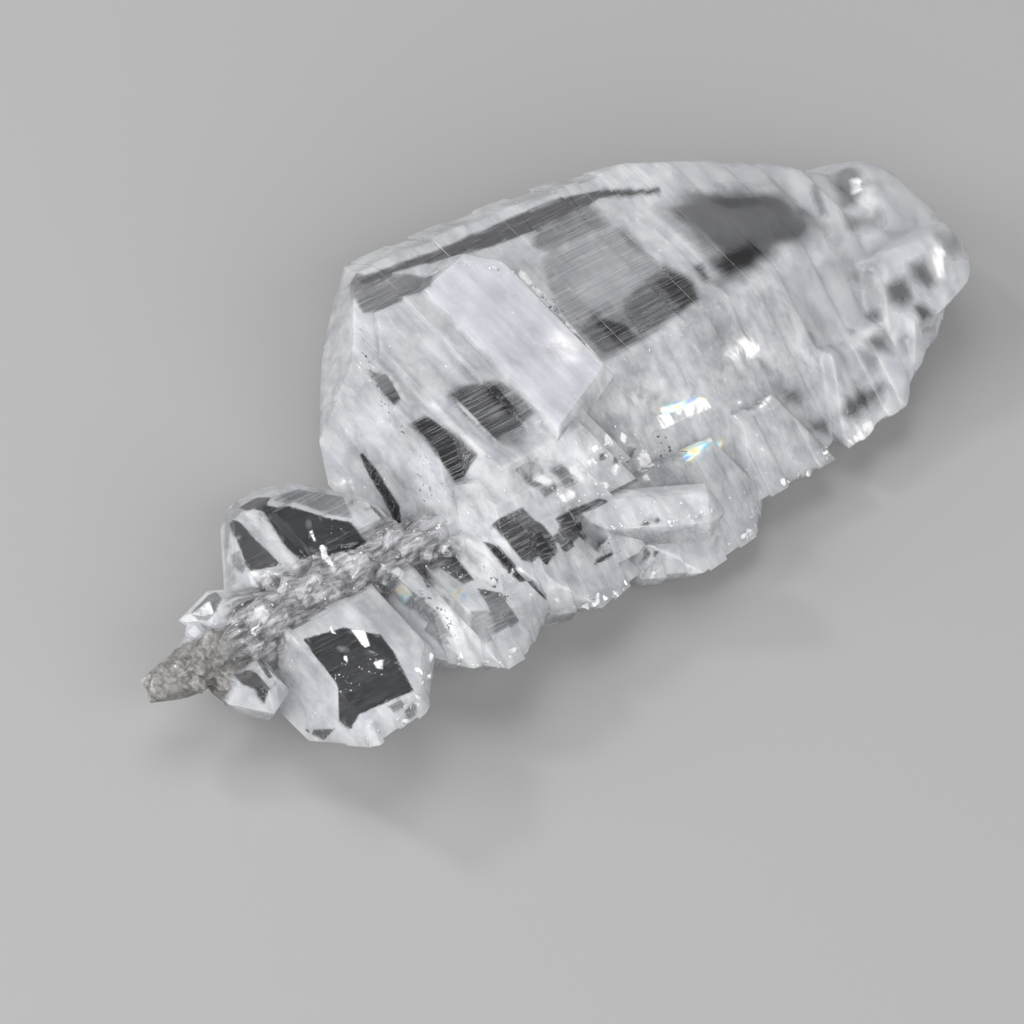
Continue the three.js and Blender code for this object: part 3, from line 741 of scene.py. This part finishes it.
WHITE = (1, 1, 1, 1)
SHADE_PAINTED_GLASS = (0.03, 0.033, 0.035, 1)
MILK_SHADE = (0.60, 0.615, 0.66, 1)
MILK_LIGHT = (0.70, 0.71, 0.73, 1)
LILAC = (0.66, 0.66, 0.72, 1)
STRAND_SHADE = (0.12, 0.12, 0.118, 1)
STRAND_LIGHT = (0.42, 0.42, 0.44, 1)
CORE_WHITE = (0.64, 0.64, 0.68, 1)
GRIT_SHADE = (0.13, 0.125, 0.12, 1)
GRIT_LIGHT = (0.31, 0.298, 0.286, 1)
VEIL_AND_HIGHLIGHT_WHITE = (0.97, 0.97, 0.98, 1)
FILM_COLOURS = (
    (0.30, (0.35, 0.45, 0.95, 1)),
    (0.42, (0.45, 0.95, 0.95, 1)),
    (0.50, (0.98, 0.98, 0.98, 1)),
    (0.57, (0.98, 0.90, 0.45, 1)),
    (0.68, (0.98, 0.62, 0.40, 1)),
)
BLUR_START, BLUR_END = 9.0, 15.0  # along the thread, where the rounded end turns matt
GRIT_START, GRIT_END = 20.2, 21.8  # towards the broken end, where the thread turns gritty


def quartz_finish():
    """Clear quartz mixed with milky quartz, by how much milk is at a place."""
    finish = Finish("clear_and_milky_quartz")
    point = finish.place()
    clear = finish.attribute("clear")
    # This share is painted shade: it darkens the clear quartz, which has no colour of its own.
    grey = finish.attribute("grey")
    rainbow = finish.attribute("rainbow")
    speckled = finish.attribute("speckled")
    lilac = finish.attribute("lilac")
    rough = finish.attribute("rough")
    cloud = finish.noise(point, (0.28, 0.25, 0.3), detail=2.0)
    wisps = finish.noise(point, (1.5, 0.7, 1.2), detail=3.0, roughness=0.6, distortion=0.5)
    growth_lines = finish.noise(point, (0.3, 12.0, 6.0), detail=2.0, roughness=0.7)
    flecks = finish.noise(point, (7.0, 3.5, 7.0), detail=3.0)
    bands = finish.noise(point, (1.2, 0.12, 0.4), detail=3.0, roughness=0.6)
    grain = finish.noise(point, (5.0, 2.5, 5.0), detail=3.0, roughness=0.65)
    strands = finish.noise(point, (0.8, 3.4, 3.4), detail=4.0, roughness=0.6, distortion=0.4)
    along = finish.node("ShaderNodeSeparateXYZ", None, {0: point})

    # How milky the quartz is: clouds and bands in it, strands on the ridge, fine lines where it is clear.
    core = finish.attribute("core") * (0.45 + 0.55 * strands.rise(0.35, 0.6))
    blurred = along.rise(BLUR_START, BLUR_END)
    gritty = rough * (-1.0 * along).rise(GRIT_START, GRIT_END)
    # The bright share is white veils in part and painted highlights and reflections in part; specks are
    # chips painted dark, a painted dark reflection.
    bright = finish.attribute("bright") * (0.25 + wisps.rise(0.25, 0.6)) & 1.0
    specks = speckled * flecks.rise(0.60, 0.65)
    milk = 0.6 + 0.8 * (cloud - 0.5) + 0.3 * (wisps - 0.5) + 0.6 * (bands - 0.5) + 0.15 * lilac
    milk = milk + 0.16 * (grain - 0.5) * (1.0 - blurred)
    milk = milk * (1.0 - rough) + (0.55 + 1.6 * (strands - 0.5)) * rough | 0.75 * core
    streaks = 0.42 * growth_lines.rise(0.48, 0.66) * (0.95 - grey) * (1.0 - 0.9 * blurred)
    milk = (milk | 0.92 * gritty) * (1.0 - clear) + streaks * clear
    # Painted glints: tiny white sparks in the milky quartz that stand in for highlights.
    painted_glints = grain.rise(0.69, 0.73) * (1.0 - clear) * (1.0 - blurred)
    milk = ((milk | bright | rainbow | painted_glints) & 1.0) * (1.0 - specks)

    # The colour of the milk, and of what lies in it.
    cool = finish.colour(wisps.rise(0.35, 0.65), MILK_SHADE, MILK_LIGHT)
    tint = finish.colour(lilac, cool, LILAC)
    strand_tint = finish.colour(strands.rise(0.35, 0.65), STRAND_SHADE, STRAND_LIGHT)
    tint = finish.colour(0.9 * rough, tint, strand_tint)
    tint = finish.colour(core, tint, CORE_WHITE)
    grit_tint = finish.colour(grain.rise(0.35, 0.65), GRIT_SHADE, GRIT_LIGHT)
    tint = finish.colour(gritty, tint, grit_tint)
    film = finish.noise(point, (1.0, 2.4, 1.0), detail=1.0)
    hue = finish.node("ShaderNodeValToRGB", {"stops": FILM_COLOURS}, {0: film})
    tint = finish.colour(rainbow, tint, hue)
    # White where veils are, and painted highlights and glints.
    tint = finish.colour(bright | painted_glints, tint, VEIL_AND_HIGHLIGHT_WHITE)

    # How matt the surface is; how dark the clear quartz looks, which is painted shade as it has no
    # colour of its own, and dark too in the specks and on the ridge; and how uneven its surface is.
    etched = 0.02 + 0.08 * (1.0 - clear) + 0.18 * blurred
    painted_shade_tint = finish.colour((1.12 * grey | specks | 0.55 * rough) & 1.0, WHITE, SHADE_PAINTED_GLASS)
    relief = 0.5 * growth_lines + 0.8 * wisps + 0.2 * flecks + 4.0 * grain * gritty
    bump = {"Strength": 0.5, "Distance": 0.035 * MM, "Height": relief}
    bumped = finish.node("ShaderNodeBump", None, bump)
    glass = finish.principled(
        Base_Color=painted_shade_tint,
        Roughness=etched,
        IOR=QUARTZ_IOR,
        Transmission_Weight=1.0,
        Normal=bumped,
    )
    frosted = finish.principled(
        Base_Color=tint,
        Roughness=0.35,
        IOR=QUARTZ_IOR,
        Subsurface_Weight=1.0,
        Subsurface_Radius=(1, 1, 1),
        Subsurface_Scale=1.6 * MM,
        Coat_Weight=0.8 - 0.6 * blurred - 0.3 * rough - 0.4 * gritty,
        Coat_Roughness=0.12,
        Coat_IOR=QUARTZ_IOR,
        Normal=bumped,
    )
    return finish.surface(finish.mixed(milk, glass, frosted))


paint(crystal)
crystal.data.materials.append(quartz_finish())
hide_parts("faden_quartz")
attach(crystal, "root")


# ---- Grains on the ridge and the rims ----
# Crumbs of quartz, each a tiny broken crystal, crowd on the rough ridge of the thread, on rims and
# along the front edges. They are the same quartz, grown fast to the surface.
CRUMB_SHAPES = 5


def crumb_shape(seed):
    """A small lump with flat, broken faces, 1 mm across, standing on its own centre."""
    bpy.ops.object.select_all(action="DESELECT")
    bpy.ops.mesh.primitive_ico_sphere_add(subdivisions=1, radius=0.5 * MM)
    lump = bpy.context.object
    bpy.ops.object.mode_set(mode="EDIT")
    bpy.ops.mesh.select_all(action="SELECT")
    bpy.ops.transform.resize(value=(1.3, 0.8, 0.7))
    bpy.ops.transform.vertex_random(offset=0.16 * MM, uniform=1.0, seed=seed)
    choose = random.Random(seed)
    for _ in range(2):
        normal = Vector((choose.uniform(-1, 1), choose.uniform(-1, 1), choose.uniform(-1, 1))).normalized()
        bpy.ops.mesh.select_all(action="SELECT")
        bpy.ops.mesh.bisect(plane_co=normal * 0.3 * MM, plane_no=normal, use_fill=True, clear_outer=True)
    bpy.ops.mesh.select_all(action="SELECT")
    bpy.ops.mesh.normals_make_consistent(inside=False)
    bpy.ops.object.mode_set(mode="OBJECT")
    shape = lump.data
    bpy.data.objects.remove(lump)
    return shape


crumb_shapes = [crumb_shape(seed) for seed in range(CRUMB_SHAPES)]


ABOVE_ALL = 20
SUNK_SHARE = 0.2


def landing(x, y):
    """Where something dropped at this place lands on the crystal, and which way the face there looks."""
    hit, place, normal, _ = crystal.ray_cast(Vector((x, y, ABOVE_ALL)) * MM, Vector((0, 0, -1)))
    return (place, normal) if hit else None


def sprinkle(name, spots, shapes, seed):
    """One piece made of copies of the shapes, each on its spot: x, y and size in millimetres."""
    choose = random.Random(seed)
    bpy.ops.object.select_all(action="DESELECT")
    first = None
    for x, y, size in spots:
        found = landing(x, y)
        if not found:
            continue
        place, normal = found
        copy = bpy.data.objects.new(name, choose.choice(shapes).copy())
        turn = Matrix.Rotation(choose.uniform(0, math.tau), 4, normal)
        angle = choose.uniform(0, math.pi)
        axis = Vector((choose.uniform(-1, 1), choose.uniform(-1, 1), 0.3))
        tilt = Matrix.Rotation(angle, 4, axis)
        seat = Matrix.Translation(place - SUNK_SHARE * size * MM * normal)
        copy.data.transform(seat @ turn @ tilt @ Matrix.Diagonal((size, size, size, 1)))
        bpy.context.scene.collection.objects.link(copy)
        copy.select_set(True)
        first = first or copy
    bpy.context.view_layer.objects.active = first
    bpy.ops.object.join()
    first.name = name
    return first


RIDGE_CRUMBS = 300
RIDGE_WEST, RIDGE_EAST = -24.4, -8.2
THIN_EAST = -20  # west of it the thread is bare and thin


def ridge_spots():
    """Spots on the ridge, closer together and mostly small along its top."""
    choose = random.Random(11)
    spots = []
    for _ in range(RIDGE_CRUMBS):
        x = choose.uniform(RIDGE_WEST, RIDGE_EAST)
        spread = 0.5 if x < THIN_EAST else 1.0
        size = 0.04 + 0.18 * choose.random() ** 3
        spots.append((x, THREAD_Y + spread * choose.gauss(0, 0.8), size))
    return spots


def strewn(choose, count, west, east, south, north, smallest, largest):
    """Spots spread evenly over a rectangle."""
    return [
        (choose.uniform(west, east), choose.uniform(south, north), choose.uniform(smallest, largest))
        for _ in range(count)
    ]


# Where the front edges of the crystals run, seen from above.
FRONT_EDGES = (
    ((-18.3, -13.2), (-16.7, -12.9), (-15.4, -12.4), (-14.4, -11.3), (-13.4, -10.2)),
    ((-12.2, -10.3), (-11.0, -11.2), (-10.0, -11.8), (-8.8, -11.3)),
    ((-5.5, -10.1), (-4.1, -10.7), (-2.8, -11.0), (-1.6, -10.6)),
    ((0.0, -9.7), (1.2, -10.2), (2.5, -10.8), (4.4, -10.7), (6.1, -10.5), (7.1, -9.5)),
    ((8.4, -9.1), (9.8, -9.2), (11.3, -9.0), (12.4, -8.5)),
)
EDGE_SPACING = 0.2  # of the crumbs along them


def edge_spots(choose):
    """Spots along the front edges."""
    spots = []
    for edge in FRONT_EDGES:
        for (west, south), (east, north) in zip(edge, edge[1:]):
            for _ in range(round(math.hypot(east - west, north - south) / EDGE_SPACING)):
                share = choose.random()
                x = west + share * (east - west) + choose.gauss(0, 0.1)
                y = south + share * (north - south) + choose.gauss(0, 0.14)
                spots.append((x, y, 0.1 + 0.5 * choose.random() ** 2))
    return spots


# Places where crumbs lie close: how many, their west, east, south and north limits, and the
# smallest and the largest size.
CRUMB_FIELDS = (
    (26, 0.4, 3.4, -6.6, -4.7, 0.12, 0.4),
    (16, -3.2, -0.4, -7.2, -6.0, 0.08, 0.3),
    (30, -2.4, 0.8, -9.9, -8.4, 0.06, 0.22),
    (22, -9.6, -8.5, -7.4, -5.6, 0.06, 0.2),
    (30, -8.8, -6.6, -9.9, -7.8, 0.05, 0.16),
    (40, -18.6, -15.6, -10.4, -8.6, 0.04, 0.16),
    (20, -13.6, -12.0, -2.6, 0.0, 0.04, 0.1),
)
PLATEAU_CRUMBS = 40


def rim_spots():
    """Spots in the crumb fields, on the curved north rim of the highest terrace, and in front."""
    choose = random.Random(5)
    spots = []
    for field in CRUMB_FIELDS:
        spots += strewn(choose, *field)
    for _ in range(PLATEAU_CRUMBS):
        along = choose.uniform(0, 1)
        x = -0.2 + 3.3 * along + choose.gauss(0, 0.12)
        spots.append((x, 8.7 - 3.0 * along * along, choose.uniform(0.06, 0.22)))
    return spots + edge_spots(choose)


CRUMB_GLASS = (0.9, 0.9, 0.9, 1)
CRUMB_WHITE = (0.74, 0.75, 0.77, 1)
CRUMB_BEIGE = (0.40, 0.385, 0.37, 1)


def crumb_finish():
    """Glassy in some places and frosted in others, and beige at the thread's broken end."""
    finish = Finish("broken_quartz")
    point = finish.place()
    cloud = finish.noise(point, (1.6, 1.6, 1.6), detail=2.0)
    along = finish.node("ShaderNodeSeparateXYZ", None, {0: point})
    tint = finish.colour((-1.0 * along).rise(GRIT_START, GRIT_END), CRUMB_WHITE, CRUMB_BEIGE)
    glass = finish.principled(
        Base_Color=CRUMB_GLASS,
        Roughness=0.04,
        IOR=QUARTZ_IOR,
        Transmission_Weight=1.0,
    )
    frosted = finish.principled(
        Base_Color=tint,
        Roughness=0.3,
        IOR=QUARTZ_IOR,
        Coat_Weight=1.0,
        Coat_Roughness=0.04,
        Coat_IOR=QUARTZ_IOR,
    )
    return finish.surface(finish.mixed(cloud.rise(0.3, 0.6), glass, frosted))


broken = crumb_finish()
for name, spots, seed in (("ridge_crumbs", ridge_spots(), 21), ("rim_crumbs", rim_spots(), 22)):
    crumbs = sprinkle(name, spots, crumb_shapes, seed)
    crumbs.data.materials.clear()
    crumbs.data.materials.append(broken)
    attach(crumbs, "root")


# ---- The thread inside the crystals ----
# The white thread that the crystals grew from: a row of thin cracks, healed with quartz and full of
# tiny bubbles, that runs on inside them from the ridge to the rounded end.
THREAD_WEST = -9.5
THREAD_EAST = 22.0
THREAD_SINKS = 0.6
CRACKS = 88
CRACK_SHAPES = 4
CRACK_THICKNESS = 0.05 * MM
CRACK_WHITE = (0.93, 0.94, 0.95, 1)


def crack_shape(seed):
    """A thin flake with a ragged round edge, 2 mm across, square to the thread."""
    bpy.ops.object.select_all(action="DESELECT")
    bpy.ops.mesh.primitive_circle_add(
        vertices=14, radius=1.0 * MM, fill_type="NGON", rotation=(0, math.pi / 2, 0)
    )
    flake = bpy.context.object
    bpy.ops.object.transform_apply(location=False, rotation=True, scale=False)
    bpy.ops.object.mode_set(mode="EDIT")
    bpy.ops.mesh.select_all(action="SELECT")
    bpy.ops.transform.vertex_random(offset=0.28 * MM, uniform=1.0, seed=seed)
    bpy.ops.transform.resize(value=(0.2, 1, 1))
    bpy.ops.mesh.extrude_region_move(TRANSFORM_OT_translate={"value": (CRACK_THICKNESS, 0, 0)})
    bpy.ops.mesh.select_all(action="SELECT")
    bpy.ops.mesh.normals_make_consistent(inside=False)
    bpy.ops.object.mode_set(mode="OBJECT")
    shape = flake.data
    bpy.data.objects.remove(flake)
    return shape


def thread_finish():
    """White where bubbles crowd in a crack, and nothing where it has healed."""
    finish = Finish("healed_cracks")
    bubbles = finish.noise(finish.place(), (2.5, 4.0, 4.0), detail=3.0)
    frosted = finish.principled(
        Base_Color=CRACK_WHITE,
        Roughness=0.5,
        IOR=QUARTZ_IOR,
        Alpha=bubbles.rise(0.35, 0.62),
    )
    return finish.surface(frosted)


choose = random.Random(3)
crack_shapes = [crack_shape(seed) for seed in range(CRACK_SHAPES)]
bpy.ops.object.select_all(action="DESELECT")
thread = None
for i in range(CRACKS):
    along = (i + choose.uniform(0.1, 0.9)) / CRACKS
    x = THREAD_WEST + (THREAD_EAST - THREAD_WEST) * along
    centre = Vector((x, THREAD_Y, THREAD_Z - THREAD_SINKS * along))
    size = choose.uniform(0.35, 0.85) * (1.1 - 0.5 * along)
    tilt = Matrix.Rotation(choose.gauss(0, 0.16), 4, "Z") @ Matrix.Rotation(choose.gauss(0, 0.2), 4, "Y")
    roll = Matrix.Rotation(choose.uniform(0, math.tau), 4, "X")
    flake = bpy.data.objects.new("thread", choose.choice(crack_shapes).copy())
    seat = Matrix.Translation(centre * MM)
    flake.data.transform(seat @ tilt @ roll @ Matrix.Diagonal((1, size, size, 1)))
    bpy.context.scene.collection.objects.link(flake)
    flake.select_set(True)
    thread = thread or flake
bpy.context.view_layer.objects.active = thread
bpy.ops.object.join()
thread.name = "inner_thread"
thread.data.materials.append(thread_finish())
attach(thread, "root")


# ---- The table, the lamps and the camera ----
# The crystal lies on a plain pale table under large soft lamps, and the camera looks down from in
# front of it, a little from the left.
TABLE_GREY = (0.35, 0.35, 0.35, 1)
bpy.ops.object.select_all(action="DESELECT")
bpy.ops.mesh.primitive_plane_add(size=2)
table = bpy.context.object
table.name = "table"
table_finish = Finish("pale_table")
matt = table_finish.principled(Base_Color=TABLE_GREY, Roughness=0.85)
table.data.materials.append(table_finish.surface(matt))

# The anchor is a point of the crystal, and its pixel is where it stands in the picture.
AZIMUTH = math.radians(-35)
ELEVATION = math.radians(48)
DISTANCE = 350 * MM
PIXELS_PER_MM = 20
FRAME_PIXELS = 1024
SENSOR = 36
ANCHOR = Vector((-0.05, -2.63, 4.2)) * MM
ANCHOR_PIXEL = (562, 456)
back = Vector(
    (
        math.sin(AZIMUTH) * math.cos(ELEVATION),
        -math.cos(AZIMUTH) * math.cos(ELEVATION),
        math.sin(ELEVATION),
    )
)
right = Vector((math.cos(AZIMUTH), math.sin(AZIMUTH), 0))
up = back.cross(right)
aside = (ANCHOR_PIXEL[0] - FRAME_PIXELS / 2) / PIXELS_PER_MM * MM
above = (FRAME_PIXELS / 2 - ANCHOR_PIXEL[1]) / PIXELS_PER_MM * MM
target = ANCHOR - right * aside - up * above
camera = bpy.data.objects.new("camera", bpy.data.cameras.new("camera"))
bpy.context.scene.collection.objects.link(camera)
turned = Matrix((right, up, back)).transposed().to_4x4()
camera.matrix_world = Matrix.Translation(target + back * DISTANCE) @ turned
camera.data.lens = PIXELS_PER_MM * DISTANCE / MM / FRAME_PIXELS * SENSOR
camera.data.sensor_width = SENSOR
camera.data.clip_start = 0.01
bpy.context.scene.camera = camera


MIDDLE = Vector((0, 0, 0.004))


def lamp(name, place, size, power):
    """A flat lamp that faces the crystal; place and size in metres, power in watts."""
    made = bpy.data.objects.new(name, bpy.data.lights.new(name, "AREA"))
    bpy.context.scene.collection.objects.link(made)
    made.data.shape = "RECTANGLE"
    made.data.size, made.data.size_y = size
    made.data.energy = power
    made.location = place
    made.rotation_euler = (MIDDLE - made.location).to_track_quat("-Z", "Y").to_euler()


lamp("left_lamp", (-0.35, 0.12, 0.20), (0.36, 0.28), 1.3)
lamp("top_lamp", (0.02, 0.10, 0.45), (0.30, 0.30), 0.7)
lamp("front_lamp", (-0.10, -0.40, 0.25), (0.60, 0.40), 2.5)
lamp("small_lamp", (-0.10, 0.25, 0.22), (0.05, 0.05), 0.25)
ROOM_LIGHT = 0.22
world = bpy.data.worlds.new("soft_room")
world.use_nodes = True
background = world.node_tree.nodes["Background"]
background.inputs["Color"].default_value = WHITE
background.inputs["Strength"].default_value = ROOM_LIGHT
bpy.context.scene.world = world
bpy.context.scene.view_settings.view_transform = "Standard"
